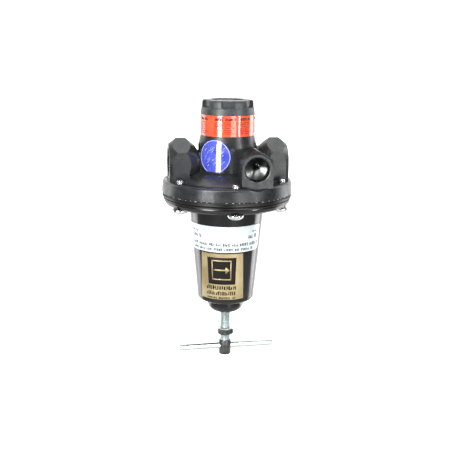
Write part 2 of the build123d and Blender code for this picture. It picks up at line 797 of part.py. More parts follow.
def gold_label():
    """A straight-sided plate of foil, so it reaches further round the narrow end of the bonnet."""
    low, high = GOLD_Z
    blank = bonnet_label(GOLD_Z, (GOLD_TURN - FOIL_BLANK, GOLD_TURN + FOIL_BLANK))
    punch = Pos(0, -BONNET_FLANGE_ROOT / 2, (low + high) / 2) * Box(
        GOLD_WIDTH,
        BONNET_FLANGE_ROOT,
        high - low + OVERCUT,
    )
    return blank & (Rot(0, 0, GOLD_TURN) * punch)


def red_band_label():
    inner = TOWER_R + SEATED_GAP
    return tube(inner, inner + LABEL, *RED_BAND_Z)


def waist_radius(z):
    """The body's outside radius between its tower and its foot."""
    if z > WAIST_Z:
        return WAIST_R + (TOWER_R - WAIST_R) * (z - WAIST_Z) / (TOWER_FLARE_TOP - WAIST_Z)
    return WAIST_R + (FOOT_R - WAIST_R) * (z - WAIST_Z) / (FOOT_Z - WAIST_Z)


def blue_sticker():
    """A round sticker that follows the body's flare."""
    levels = [STICKER_Z + STICKER_R, WAIST_Z, STICKER_Z - STICKER_BLANK]
    inner = [(waist_radius(z) + SEATED_GAP, z) for z in levels]
    outer = [(radius + LABEL, z) for radius, z in reversed(inner)]
    skin = turned(inner + outer)
    punch = along_x(rod(STICKER_R, TOWER_R / 2, 2 * TOWER_R))
    return skin & (Pos(0, 0, STICKER_Z) * Rot(0, 0, STICKER_TURN - 90) * punch)


NODES = (
    body_housing,
    valve_cap,
    cap_o_ring,
    valve_seat,
    aspirator_tube,
    poppet,
    poppet_disc,
    poppet_o_ring,
    valve_spring,
    diaphragm,
    diaphragm_plate_upper,
    diaphragm_plate_lower,
    relief_seat,
    plate_nut,
    control_spring,
    spring_rest,
    thrust_ball,
    bonnet,
    bonnet_bushing,
    flange_screws,
    adjusting_screw,
    t_bar,
    jam_nut,
    nut_washer,
    red_band_label,
    white_label,
    gold_label,
    blue_sticker,
)

os.makedirs("parts", exist_ok=True)
for make_node in NODES:
    placed = Pos(PORT_REACH, 0, 0) * make_node()
    export_step(placed, f"parts/{make_node.__name__}.step")
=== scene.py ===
import json
import math
import random

import bmesh
import bpy
from mathutils import Euler, Matrix, Quaternion, Vector


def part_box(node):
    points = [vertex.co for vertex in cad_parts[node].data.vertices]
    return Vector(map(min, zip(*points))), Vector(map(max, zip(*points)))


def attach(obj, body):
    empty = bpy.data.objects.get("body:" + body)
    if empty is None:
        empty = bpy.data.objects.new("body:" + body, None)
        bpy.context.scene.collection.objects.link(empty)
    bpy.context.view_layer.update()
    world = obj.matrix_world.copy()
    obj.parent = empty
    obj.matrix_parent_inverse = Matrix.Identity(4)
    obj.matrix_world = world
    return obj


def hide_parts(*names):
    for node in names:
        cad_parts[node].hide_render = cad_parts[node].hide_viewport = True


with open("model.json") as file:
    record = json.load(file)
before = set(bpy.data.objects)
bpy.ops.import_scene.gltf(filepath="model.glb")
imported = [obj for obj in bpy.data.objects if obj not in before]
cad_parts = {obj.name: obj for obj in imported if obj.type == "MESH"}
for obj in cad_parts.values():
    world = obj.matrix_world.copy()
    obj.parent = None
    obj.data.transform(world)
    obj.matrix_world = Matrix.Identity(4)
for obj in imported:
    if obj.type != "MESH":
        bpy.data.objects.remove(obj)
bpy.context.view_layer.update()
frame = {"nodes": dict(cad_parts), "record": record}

RNG = random.Random(7)
MM = 0.001

# The camera: where the photographer stood, about the regulator's own vertical axis
CAMERA_AZIMUTH = -8.5
CAMERA_DISTANCE = 0.716
CAMERA_HEIGHT = 0.1096
CAMERA_PITCH = 13.3
CAMERA_SWING = 0.1
CAMERA_ROLL = 0.67
CAMERA_LENS = 63.3
CAMERA_SENSOR = 36

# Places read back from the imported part
SCREW_LOW, SCREW_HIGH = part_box("adjusting_screw")
AXIS = Vector(((SCREW_LOW.x + SCREW_HIGH.x) / 2, (SCREW_LOW.y + SCREW_HIGH.y) / 2, 0))
MOUNTS = {mount["name"]: mount for mount in frame["record"]["mounts"]}
BONNET_RIM = 6 * MM          # height of the bonnet's duller rim
BONNET_GLOSS_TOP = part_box("bonnet")[1].z - BONNET_RIM


def around(azimuth, radius, height):
    """A point at an angle from the front, towards the outlet, about the regulator's axis."""
    turn = math.radians(azimuth)
    return Vector((AXIS.x + radius * math.sin(turn), AXIS.y - radius * math.cos(turn), height))


# ---------------------------------------------------------------- materials
# Noise scales are per metre. Colours are linear.

MOTTLE_LOW, MOTTLE_HIGH = 0.35, 0.65     # noise at which a mottle reaches its two colours
SPREAD_LOW, SPREAD_HIGH = 0.3, 0.7       # noise at which roughness reaches its two ends
COAT_ROUGHNESS = 0.06


class Surface:
    """A Principled material with a few ways to add procedural detail."""

    def __init__(self, name, colour, roughness, metallic=0.0, coat=0.0, specular=0.5):
        self.material = bpy.data.materials.new(name)
        self.material.use_nodes = True
        self.tree = self.material.node_tree
        self.shader = self.tree.nodes["Principled BSDF"]
        self.shader.inputs["Base Color"].default_value = (*colour, 1)
        self.shader.inputs["Roughness"].default_value = roughness
        self.shader.inputs["Metallic"].default_value = metallic
        self.shader.inputs["Coat Weight"].default_value = coat
        self.shader.inputs["Coat Roughness"].default_value = COAT_ROUGHNESS
        self.shader.inputs["Specular IOR Level"].default_value = specular
        self.place = self.tree.nodes.new("ShaderNodeTexCoord").outputs["Object"]
        self.normal = None

    def noise(self, scale, detail=4.0, packing=(1, 1, 1)):
        """A noise factor, packed tighter along an axis whose packing is over 1."""
        mapping = self.tree.nodes.new("ShaderNodeMapping")
        mapping.inputs["Scale"].default_value = packing
        self.tree.links.new(self.place, mapping.inputs["Vector"])
        texture = self.tree.nodes.new("ShaderNodeTexNoise")
        texture.inputs["Scale"].default_value = scale
        texture.inputs["Detail"].default_value = detail
        self.tree.links.new(mapping.outputs["Vector"], texture.inputs["Vector"])
        return texture.outputs["Fac"]

    def colours(self, factor, dark, light):
        """Mottles the base colour between two colours."""
        ramp = self.tree.nodes.new("ShaderNodeValToRGB")
        ramp.color_ramp.elements[0].position = MOTTLE_LOW
        ramp.color_ramp.elements[0].color = (*dark, 1)
        ramp.color_ramp.elements[1].position = MOTTLE_HIGH
        ramp.color_ramp.elements[1].color = (*light, 1)
        self.tree.links.new(factor, ramp.inputs["Fac"])
        self.tree.links.new(ramp.outputs["Color"], self.shader.inputs["Base Color"])
        return self

    def roughness(self, factor, low, high):
        """Varies the roughness between two values."""
        spread = self.tree.nodes.new("ShaderNodeMapRange")
        spread.inputs["From Min"].default_value = SPREAD_LOW
        spread.inputs["From Max"].default_value = SPREAD_HIGH
        spread.inputs["To Min"].default_value = low
        spread.inputs["To Max"].default_value = high
        self.tree.links.new(factor, spread.inputs["Value"])
        self.tree.links.new(spread.outputs["Result"], self.shader.inputs["Roughness"])
        return self

    def rougher_above(self, height, extra):
        """Adds roughness to whatever is there, above a height in the CAD frame."""
        split = self.tree.nodes.new("ShaderNodeSeparateXYZ")
        self.tree.links.new(self.place, split.inputs["Vector"])
        step = self.tree.nodes.new("ShaderNodeMapRange")
        step.inputs["From Min"].default_value = height
        step.inputs["From Max"].default_value = height + MM
        step.inputs["To Min"].default_value = 0.0
        step.inputs["To Max"].default_value = extra
        self.tree.links.new(split.outputs["Z"], step.inputs["Value"])
        total = self.tree.nodes.new("ShaderNodeMath")
        total.operation = "ADD"
        self.tree.links.new(step.outputs["Result"], total.inputs[0])
        self.tree.links.new(self.shader.inputs["Roughness"].links[0].from_socket, total.inputs[1])
        self.tree.links.new(total.outputs["Value"], self.shader.inputs["Roughness"])
        return self

    def bump(self, factor, strength, depth):
        """Adds relief, depth in metres, on top of any relief added before."""
        relief = self.tree.nodes.new("ShaderNodeBump")
        relief.inputs["Strength"].default_value = strength
        relief.inputs["Distance"].default_value = depth
        self.tree.links.new(factor, relief.inputs["Height"])
        if self.normal:
            self.tree.links.new(self.normal, relief.inputs["Normal"])
        self.normal = relief.outputs["Normal"]
        self.tree.links.new(self.normal, self.shader.inputs["Normal"])
        return self


def cast_enamel():
    skin = Surface("cast_enamel", (0.012, 0.014, 0.014), 0.3)
    skin.colours(skin.noise(90, 5), (0.008, 0.009, 0.01), (0.019, 0.022, 0.022))
    skin.roughness(skin.noise(160), 0.24, 0.38)
    skin.bump(skin.noise(1400, 3), 0.2, 0.2 * MM)
    return skin.bump(skin.noise(240, 2), 0.16, 0.4 * MM).material


def gloss_enamel():
    skin = Surface("gloss_enamel", (0.004, 0.004, 0.004), 0.14)
    skin.colours(skin.noise(60, 4), (0.003, 0.003, 0.003), (0.007, 0.006, 0.006))
    skin.roughness(skin.noise(110), 0.1, 0.2)
    skin.rougher_above(BONNET_GLOSS_TOP, 0.2)
    return skin.bump(skin.noise(700, 2), 0.1, 0.2 * MM).material


def moulded_plastic():
    skin = Surface("moulded_plastic", (0.03, 0.034, 0.036), 0.4)
    skin.colours(skin.noise(300, 4), (0.022, 0.026, 0.028), (0.042, 0.047, 0.05))
    skin.roughness(skin.noise(400), 0.32, 0.48)
    return skin.bump(skin.noise(2500, 2), 0.2, 0.1 * MM).material


def black_rubber():
    skin = Surface("black_rubber", (0.012, 0.012, 0.012), 0.75, specular=0.3)
    skin.roughness(skin.noise(500), 0.65, 0.85)
    return skin.bump(skin.noise(1800, 2), 0.2, 0.1 * MM).material


def turned_brass():
    skin = Surface("turned_brass", (0.62, 0.43, 0.17), 0.28, metallic=1.0)
    skin.colours(skin.noise(120), (0.5, 0.33, 0.12), (0.7, 0.5, 0.22))
    return skin.bump(skin.noise(900, 2, (1, 1, 8)), 0.1, 0.05 * MM).material


def zinc_plate():
    skin = Surface("zinc_plate", (0.68, 0.72, 0.72), 0.3, metallic=1.0)
    skin.colours(skin.noise(160, 3), (0.62, 0.67, 0.67), (0.74, 0.78, 0.78))
    skin.roughness(skin.noise(600), 0.16, 0.26)
    return skin.bump(skin.noise(1500, 3, (1, 1, 3)), 0.03, 0.1 * MM).material


def thread_zinc():
    """Zinc on rolled threads, duller than on the flats."""
    skin = Surface("thread_zinc", (0.4, 0.45, 0.46), 0.42, metallic=0.85)
    skin.colours(skin.noise(160, 3), (0.34, 0.4, 0.41), (0.44, 0.5, 0.51))
    return skin.roughness(skin.noise(600), 0.38, 0.5).material


def dark_zinc():
    skin = Surface("dark_zinc", (0.1, 0.105, 0.1), 0.35, metallic=0.9)
    skin.colours(skin.noise(260, 4), (0.07, 0.07, 0.068), (0.14, 0.15, 0.15))
    skin.roughness(skin.noise(600), 0.3, 0.45)
    return skin.bump(skin.noise(1500, 3, (1, 1, 3)), 0.06, 0.1 * MM).material


def bare_casting():
    """Machined aluminium inside the pipe ports."""
    skin = Surface("bare_casting", (0.42, 0.43, 0.42), 0.28, metallic=0.95)
    skin.colours(skin.noise(120, 2), (0.36, 0.37, 0.36), (0.48, 0.49, 0.48))
    return skin.roughness(skin.noise(300), 0.22, 0.34).material


def painted_shade_casting():
    """Darker machined metal inside the blind port: the same machined aluminium as the other ports, its
    colour darkened as painted shade for the deep port's dim inside.
    """
    skin = Surface("painted_shade_casting", (0.08, 0.083, 0.08), 0.2, metallic=0.95)
    skin.colours(skin.noise(120, 2), (0.06, 0.063, 0.06), (0.095, 0.099, 0.095))
    return skin.roughness(skin.noise(300), 0.17, 0.25).material


def spring_steel():
    skin = Surface("spring_steel", (0.2, 0.2, 0.21), 0.35, metallic=1.0)
    skin.colours(skin.noise(300), (0.13, 0.13, 0.14), (0.28, 0.28, 0.3))
    return skin.bump(skin.noise(1200, 2), 0.1, 0.05 * MM).material


def pressed_aluminium():
    skin = Surface("pressed_aluminium", (0.75, 0.76, 0.77), 0.35, metallic=1.0)
    skin.roughness(skin.noise(400), 0.28, 0.45)
    return skin.bump(skin.noise(900, 2), 0.1, 0.05 * MM).material


def film(name, dark, light, roughness, coat, grain):
    """A printed film or foil with a faint mottle and stretch marks."""
    skin = Surface(name, light, roughness, coat=coat)
    skin.colours(skin.noise(grain, 3), dark, light)
    return skin.bump(skin.noise(500, 2, (1, 1, 0.3)), 0.02, 0.1 * MM).material


def gold_foil():
    skin = Surface("gold_foil", (0.46, 0.36, 0.18), 0.36, metallic=0.7, coat=0.25)
    skin.colours(skin.noise(40, 3), (0.38, 0.29, 0.13), (0.56, 0.46, 0.26))
    skin.roughness(skin.noise(300, 3, (1, 1, 6)), 0.3, 0.44)
    return skin.bump(skin.noise(900, 2, (1, 1, 5)), 0.08, 0.05 * MM).material


def ink(name, colour):
    """Dry printing ink."""
    skin = Surface(name, colour, 0.45, specular=0.2)
    skin.roughness(skin.noise(900), 0.38, 0.55)
    return skin.bump(skin.noise(2200, 2), 0.08, 0.03 * MM).material


LOOKS = {
    "body_enamel": cast_enamel(),
    "bonnet_enamel": gloss_enamel(),
    "cap_plastic": moulded_plastic(),
    "rubber": black_rubber(),
    "brass": turned_brass(),
    "spring_steel": spring_steel(),
    "plate_aluminium": pressed_aluminium(),
    "zinc_steel": zinc_plate(),
    "label_red": film(
        "red_film", (0.72, 0.075, 0.03), (0.82, 0.1, 0.045), roughness=0.12, coat=1.0, grain=200
    ),
    "label_white": film(
        "white_film", (0.56, 0.62, 0.63), (0.62, 0.68, 0.69), roughness=0.35, coat=0.1, grain=200
    ),
    "label_gold": gold_foil(),
    "label_blue": film(
        "blue_film", (0.045, 0.06, 0.4), (0.09, 0.11, 0.55), roughness=0.1, coat=1.0, grain=130
    ),
}
THREAD_ZINC = thread_zinc()
DARK_ZINC = dark_zinc()
BARE_CASTING = bare_casting()
# machined metal darkened as painted shade for the blind port's dim inside
PAINTED_SHADE_CASTING = painted_shade_casting()
BLACK_INK = ink("black_ink", (0.008, 0.006, 0.005))
RED_INK = ink("red_ink", (0.05, 0.008, 0.008))
GREY_INK = ink("grey_ink", (0.07, 0.085, 0.1))
FABRIC = ink("fabric_ends", (0.3, 0.31, 0.3))
PALE_INK = ink("pale_ink", (0.5, 0.54, 0.8))


def dress_frame():
    """Gives every CAD node the look of its material slot."""
    for part in frame["record"]["subparts"]:
        node = frame["nodes"][part["node"]]
        node.data.materials.clear()
        node.data.materials.append(LOOKS[part["material_slot"]])
    nut = frame["nodes"]["jam_nut"]
    nut.data.materials.clear()
    nut.data.materials.append(DARK_ZINC)


# ---------------------------------------------------------------- mesh tools

FILM_SHARP = math.radians(40)
METAL_SHARP = math.radians(50)
PATCH_STEP = 3               # degrees of wall that one facet of a printed patch may span


def face_outwards(mesh):
    """Turns the faces of every closed shape in a mesh to look out of it."""
    shape = bmesh.new()
    shape.from_mesh(mesh)
    bmesh.ops.recalc_face_normals(shape, faces=shape.faces)
    shape.to_mesh(mesh)
    shape.free()


def piece(name, vertices, faces, material, body, slot_name, sharp=None):
    """A smooth mesh object that rides on a CAD body, with edges over an angle kept sharp."""
    mesh = bpy.data.meshes.new(name)
    mesh.from_pydata([tuple(v) for v in vertices], [], faces)
    mesh.validate()
    face_outwards(mesh)
    mesh.update()
    mesh.materials.append(material)
    mesh.shade_smooth()
    if sharp:
        mesh.set_sharp_from_angle(angle=sharp)
    thing = bpy.data.objects.new(name, mesh)
    bpy.context.scene.collection.objects.link(thing)
    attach(thing, body)
    return thing


def grid_faces(rows, columns, start=0, wrap=False):
    """Quads of a grid of vertices listed row by row."""
    faces = []
    for row in range(rows - 1):
        for column in range(columns if wrap else columns - 1):
            after = (column + 1) % columns
            low, high = start + row * columns, start + (row + 1) * columns
            faces.append((low + column, low + after, high + after, high + column))
    return faces


def circle(radius, height, steps, across=0, up=0):
    """Points of a circle round Z, or round a line beside it."""
    points = []
    for step in range(steps):
        turn = 2 * math.pi * step / steps
        points.append(Vector((across + radius * math.cos(turn), up + radius * math.sin(turn), height)))
    return points


def looped_faces(rings, steps):
    """Faces of a closed tube of rings of points, the last ring joined to the first."""
    faces = grid_faces(rings, steps, 0, wrap=True)
    last = (rings - 1) * steps
    for step in range(steps):
        after = (step + 1) % steps
        faces.append((last + step, last + after, after, step))
    return faces


def capped_faces(rings, steps):
    """Faces of a closed shape: a first point, some rings of points, a last point."""
    faces = grid_faces(rings, steps, 1, wrap=True)
    last = rings * steps + 1
    for step in range(steps):
        after = (step + 1) % steps
        faces.append((0, 1 + after, 1 + step))
        faces.append((last, last - steps + step, last - steps + after))
    return faces


def lathe(profile, segments=64, centre=AXIS):
    """Vertices and faces of a closed turned shape. The profile runs from the axis round to the axis."""
    inner = profile[1:-1]
    vertices = [Vector((centre.x, centre.y, profile[0][1]))]
    for radius, height in inner:
        vertices += circle(radius, height, segments, centre.x, centre.y)
    vertices.append(Vector((centre.x, centre.y, profile[-1][1])))
    return vertices, capped_faces(len(inner), segments)


class Cone:
    """The outside of a coaxial tapered wall, from its radii at two heights."""

    def __init__(self, low, low_radius, high, high_radius):
        self.low, self.low_radius = low, low_radius
        self.slope = (high_radius - low_radius) / (high - low)

    def radius(self, height):
        return self.low_radius + self.slope * (height - self.low)

    def point(self, azimuth, height, lift):
        return around(azimuth, self.radius(height) + lift, height)


def shell_faces(rows, columns):
    """Faces of a closed shell: an inner grid of vertices, then an outer one, joined round the border."""
    size = rows * columns
    inner = [tuple(reversed(face)) for face in grid_faces(rows, columns)]
    outer = grid_faces(rows, columns, size)
    border = list(range(columns))
    border += [row * columns + columns - 1 for row in range(1, rows)]
    border += [(rows - 1) * columns + column for column in range(columns - 2, -1, -1)]
    border += [row * columns for row in range(rows - 2, 0, -1)]
    sides = [(a, b, b + size, a + size) for a, b in zip(border, border[1:] + border[:1])]
    return inner + outer + sides


def printed_patch(wall, azimuths, heights, lift, depth, steps=None):
    """Vertices and faces of a thin closed patch wrapped on a wall."""
    start, end = azimuths
    columns = (steps or max(2, int(abs(end - start) / PATCH_STEP) + 1)) + 1
    vertices = []
    for level in (lift, lift + depth):
        for height in heights:
            for column in range(columns):
                azimuth = start + (end - start) * column / (columns - 1)
                vertices.append(wall.point(azimuth, height, level))
    return vertices, shell_faces(len(heights), columns)


def merged(parts):
    """Joins several (vertices, faces) pairs into one."""
    vertices, faces = [], []
    for more_vertices, more_faces in parts:
        start = len(vertices)
        vertices += more_vertices
        faces += [tuple(start + index for index in face) for face in more_faces]
    return vertices, faces


# ---------------------------------------------------------------- threads

INCH = 25.4 * MM
THREAD_STEPS = 40
THREAD_ROWS_PER_PITCH = 10
THREAD_FLAT = 0.15           # share of a thread's height lost to the flat at its root, and at its crest
SCREW_PITCH = INCH / 16
FLANGE_PITCH = INCH / 20
PIPE_PITCH = INCH / 14


def thread_height(turns):
    """Height of a V thread with small flats, 0 at the root and 1 at the crest."""
    slope = abs(2 * (turns % 1.0) - 1)
    return min(1.0, max(0.0, (1 + 2 * THREAD_FLAT) * slope - THREAD_FLAT))


def thread_rows(low, high, pitch, root, crest):
    """Rows of vertices about Z whose radius follows a right-hand helix, fading to the root at both ends."""
    count = int((high - low) / pitch * THREAD_ROWS_PER_PITCH) + 1
    rows = []
    for row in range(count):
        height = low + (high - low) * row / (count - 1)
        fade = min(1.0, (height - low) / pitch, (high - height) / pitch)
        ring = []
        for step in range(THREAD_STEPS):
            share = step / THREAD_STEPS
            lift = thread_height((height - low) / pitch - share) * max(0.0, fade)
            radius = root + (crest - root) * lift
            turn = 2 * math.pi * share
            ring.append(Vector((radius * math.cos(turn), radius * math.sin(turn), height)))
        rows.append(ring)
    return rows


def threaded_rod(low, high, pitch, root, crest):
    """A closed rod about Z with a real helical thread."""
    rows = thread_rows(low, high, pitch, root, crest)
    vertices = [Vector((0, 0, low))]
    vertices += [point for ring in rows for point in ring]
    vertices.append(Vector((0, 0, high)))
    return vertices, capped_faces(len(rows), THREAD_STEPS)


def threaded_sleeve(length, pitch, wall, root, crest):
    """A closed ring about Z, from 0 to its length, threaded on the inside."""
    rows = thread_rows(0, length, pitch, root, crest)
    rings = rows + [circle(wall, length, THREAD_STEPS), circle(wall, 0, THREAD_STEPS)]
    return [point for ring in rings for point in ring], looped_faces(len(rings), THREAD_STEPS)


def moved(shape, matrix):
    vertices, faces = shape
    return [matrix @ vertex for vertex in vertices], faces


PORT_START = 2.5 * MM        # from the mouth to the thread, and from the thread to the floor
PORT_THREAD = 0.7 * MM       # height of the ridges
PORT_GAP = 0.02 * MM         # how far the roots stand off the wall
PORT_LINER = 0.2 * MM        # how far the liner sinks into the wall
PORT_CONE = 4.0 * MM         # how far a blind port's floor dips from its rim to the hole
HOLE_TIP = 2.0 * MM          # how far the hole goes on from there
PORT_BACK = 2.3 * MM         # back of the floor piece, measured from the hole's mouth
SENSE_HOLE = (-1.8 * MM, 2.4 * MM, 2.2 * MM)  # across, up and radius
PORT_FLOOR_STEPS = 48


def port_floor(radius, depth):
    """The drilled floor of a blind port: a shallow cone that dips to a small hole above its centre."""
    across, up, hole = SENSE_HOLE
    vertices = [Vector((across, up, depth + HOLE_TIP))]
    vertices += circle(hole, depth, PORT_FLOOR_STEPS, across, up)
    vertices += circle(radius, depth - PORT_CONE, PORT_FLOOR_STEPS)
    vertices += circle(radius, depth + PORT_BACK, PORT_FLOOR_STEPS)
    vertices.append(Vector((0, 0, depth + PORT_BACK)))
    return vertices, capped_faces(3, PORT_FLOOR_STEPS)


def pipe_threads():
    """Helical ridges on bare metal in each pipe port, from the record's mounts."""
    for name, mount in MOUNTS.items():
        radius = mount["dims"]["r_mm"] * MM
        length = mount["dims"]["length_mm"] * MM - 2 * PORT_START
        inward = -Vector(mount["axis"])
        across = inward.cross(Vector((0, 0, 1)))
        turn = Matrix((-across, Vector((0, 0, 1)), inward)).transposed().to_4x4()
        place = Matrix.Translation(Vector(mount["pos_m"]) + inward * PORT_START) @ turn
        root, crest = radius - PORT_GAP, radius - PORT_THREAD
        ring = threaded_sleeve(length, PIPE_PITCH, radius + PORT_LINER, root, crest)
        shapes = [moved(ring, place)]
        metal = BARE_CASTING
        faces_front = bool(mount["axis"][1])
        if faces_front:  # the only blind port
            shapes.append(moved(port_floor(radius, length), place))
            # darker metal here is painted shade inside the blind port
            metal = PAINTED_SHADE_CASTING
        piece(f"{name}_thread", *merged(shapes), metal, "body", "body_enamel", METAL_SHARP)


SCREW_CREST = INCH * 3 / 16
SCREW_ROOT = 4.1 * MM
HUB_RISE = 5.9 * MM          # top of the hub over the cross bar's centre line
HUB_ROUND = 0.9 * MM


def handle_hub(low, high, radius):
    """A turned hub with rounded rims."""
    bevel = 0.3 * HUB_ROUND
    return lathe([
        (0, low),
        (radius - HUB_ROUND, low),
        (radius - bevel, low + bevel),
        (radius, low + HUB_ROUND),
        (radius, high - HUB_ROUND),
        (radius - bevel, high - bevel),
        (radius - HUB_ROUND, high),
        (0, high),
    ])


def adjusting_screw():
    """The long screw with its real thread, and the handle's hub."""
    low, high = SCREW_LOW.z, SCREW_HIGH.z
    bar_low, bar_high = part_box("t_bar")
    hub_top = (bar_low.z + bar_high.z) / 2 + HUB_RISE
    rod = threaded_rod(hub_top - MM, high, SCREW_PITCH, SCREW_ROOT, SCREW_CREST)
    rod = moved(rod, Matrix.Translation(AXIS))
    hub = handle_hub(low, hub_top, (SCREW_HIGH.x - SCREW_LOW.x) / 2)
    screw = piece("threaded_adjusting_screw", *rod, THREAD_ZINC, "handle", "zinc_steel")
    piece("handle_hub", *hub, DARK_ZINC, "handle", "zinc_steel")
    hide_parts("adjusting_screw")


FLANGE_SCREWS = 6
FLANGE_CREST = INCH / 8
FLANGE_ROOT = 2.6 * MM
HEAD_RADIUS = 7.2 * MM
HEAD_HEIGHT = 4.5 * MM
HEAD_STEPS = 40
# The domed head from its socket out to its rim: radius and height over the lowest point, in millimetres
HEAD_PROFILE = (
    (0, 1.6),
    (1.9, 1.5),
    (2.0, 0.1),
    (2.4, 0),
    (4.6, 0.7),
    (6.4, 1.9),
    (7.1, 3.2),
    (7.2, 4.4),
    (7.1, 4.5),
    (0, 4.5),
)


def flange_screws():
    """Screws with domed socket heads below and threaded ends above."""
    low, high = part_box("flange_screws")
    ring_radius = (high.y - low.y) / 2 - HEAD_RADIUS
    shank_low = low.z + HEAD_HEIGHT - 0.5 * MM
    head = [(radius * MM, low.z + height * MM) for radius, height in HEAD_PROFILE]
    shapes = []
    for index in range(FLANGE_SCREWS):
        centre = around(360 / FLANGE_SCREWS * index, ring_radius, 0)
        shank = threaded_rod(shank_low, high.z, FLANGE_PITCH, FLANGE_ROOT, FLANGE_CREST)
        shapes.append(moved(shank, Matrix.Translation(centre)))
        shapes.append(lathe(head, HEAD_STEPS, centre))
    screws = piece("socket_flange_screws", *merged(shapes), LOOKS["zinc_steel"], "body", "zinc_steel")
    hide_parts("flange_screws")


# ---------------------------------------------------------------- labels

INK_LIFT = 0.01 * MM
INK_DEPTH = 0.03 * MM
FILM_DEPTH = 0.3 * MM
FILM_COLUMNS = 49
FILM_ROWS = 8
CORNER_STEPS = 6
OUTWARD = 0.95               # a label's outer skin faces away from the axis at least this squarely
FOIL_TRIM = 1.1 * MM         # the gold foil is this much narrower on each side than its CAD blank


class LabelWall(Cone):
    """The outer skin of a CAD label: its radius at any height between its ends."""

    def __init__(self, node):
        mesh = frame["nodes"][node].data
        levels = {}
        for face in mesh.polygons:
            away = Vector((face.center.x - AXIS.x, face.center.y - AXIS.y, 0)).normalized()
            if face.normal.dot(away) < OUTWARD:
                continue
            for index in face.vertices:
                point = mesh.vertices[index].co
                height = round(point.z, 4)
                reach = math.hypot(point.x - AXIS.x, point.y - AXIS.y)
                levels[height] = max(reach, levels.get(height, 0))
        self.levels = sorted(levels.items())

    def radius(self, height):
        below, above = self.levels[0], self.levels[-1]
        for level in self.levels:
            if level[0] <= height:
                below = level
            else:
                above = level
                break
        if above[0] == below[0]:
            return below[1]
        share = (height - below[0]) / (above[0] - below[0])
        return below[1] + (above[1] - below[1]) * min(1.0, max(0.0, share))


def azimuth_of(point):
    return math.degrees(math.atan2(point.x - AXIS.x, AXIS.y - point.y))


def label_azimuths(node):
    """First and last azimuth of a CAD label."""
    found = [azimuth_of(vertex.co) for vertex in frame["nodes"][node].data.vertices]
    return min(found), max(found)


def rounded_heights(low, high, corner):
    """(height, inset) pairs up a label's edge, with the inset of its rounded corners."""
    pairs = []
    for step in range(CORNER_STEPS + 1):
        turn = math.pi / 2 * step / CORNER_STEPS
        pairs.append((low + corner * (1 - math.cos(turn)), corner * (1 - math.sin(turn))))
    middle = [(low + (high - low) * row / FILM_ROWS, 0) for row in range(2, FILM_ROWS - 1)]
    top = [(low + high - height, inset) for height, inset in reversed(pairs)]
    return pairs + middle + top


def film_label(name, node, slot_name, corner, straight=False):
    """A thin rounded film on the bonnet, in place of the CAD label. A straight one keeps its width."""
    wall = LabelWall(node)
    low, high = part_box(node)
    start, end = label_azimuths(node)
    middle, half = (start + end) / 2, (end - start) / 2
    width = (wall.radius(low.z) - FILM_DEPTH) * math.sin(math.radians(half)) - FOIL_TRIM
    rows = rounded_heights(low.z, high.z, corner)
    vertices = []
    for lift in (-FILM_DEPTH, 0):
        for height, inset in rows:
            radius = wall.radius(height)
            reach = math.degrees(math.asin(width / radius)) if straight else half
            reach -= math.degrees(inset / radius)
            for column in range(FILM_COLUMNS):
                azimuth = middle + reach * (2 * column / (FILM_COLUMNS - 1) - 1)
                vertices.append(around(azimuth, radius + lift, height))
    faces = shell_faces(len(rows), FILM_COLUMNS)
    label = piece(name, vertices, faces, LOOKS[slot_name], "body", slot_name, FILM_SHARP)
    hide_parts(node)
    return wall, (low.z, high.z), (start, end)


def bars(wall, lines, lift=INK_LIFT):
    """Printed bars, each (start azimuth, end azimuth, bottom height, top height), as one shape."""
    return merged([
        printed_patch(wall, (start, end), (low, high), lift, INK_DEPTH)
        for start, end, low, high in lines
    ])


# Illegible print, as shares of a stroke's width, of a gap's width and of a line's height
STROKE_WIDTHS = (0.7, 1.5)
GAP_WIDTHS = (0.8, 1.5)
BASE_INSETS = (0, 0, 0, 0.12)
TOP_INSETS = (0, 0, 0.1, 0.3)
LINK_LEVELS = (0.02, 0.42, 0.8)
LINK_CHANCE = 0.5
LINK_HEIGHT = 0.2
LINK_REACH = 1.2
WORD_GAPS = 3


def words(start, end, low, high, stroke, gap, longest):
    """A line of print: illegible strokes of random height, width and spacing, grouped into words."""
    lines = []
    here = start
    tall = high - low
    while here < end:
        for _ in range(RNG.randint(3, longest)):
            wide = stroke * RNG.uniform(*STROKE_WIDTHS)
            if here + wide > end:
                return lines
            base = low + tall * RNG.choice(BASE_INSETS)
            top = high - tall * RNG.choice(TOP_INSETS)
            lines.append((here, here + wide, base, top))
            if RNG.random() < LINK_CHANCE:
                level = base + (top - base) * RNG.choice(LINK_LEVELS)
                reach = min(end, here + wide + gap * LINK_REACH)
                lines.append((here + wide, reach, level, level + tall * LINK_HEIGHT))
            here += wide + gap * RNG.uniform(*GAP_WIDTHS)
        here += WORD_GAPS * gap
    return lines


# First and last azimuth of each block of print on the red band
RED_BLOCKS = (
    (-80, -52),
    (-37, -17),
    (-15, 8),
    (17, 46),
    (62, 90),
    (105, 128),
    (140, 165),
    (180, 205),
    (220, 250),
)
RED_EDGE = 0.3 * MM
RED_TITLE_DROP = 4.4 * MM    # from the band's top edge to the foot of each block's title
RED_TITLE_HEIGHT = 2.6 * MM
RED_ROWS = 7
RED_ROW_DROP = 1.9 * MM      # from the title's foot to the first row's
RED_ROW_PITCH = 1.6 * MM
RED_ROW_HEIGHT = 0.8 * MM


def ring_shape(wall, heights, depth, steps=96):
    """A closed ring round a wall, given depth inwards from the wall's skin."""
    rings = [(wall.radius(height) - depth, height) for height in heights]
    rings += [(wall.radius(height), height) for height in reversed(heights)]
    vertices = [
        around(360 * step / steps, radius, height)
        for radius, height in rings
        for step in range(steps)
    ]
    return vertices, looped_faces(len(rings), steps)


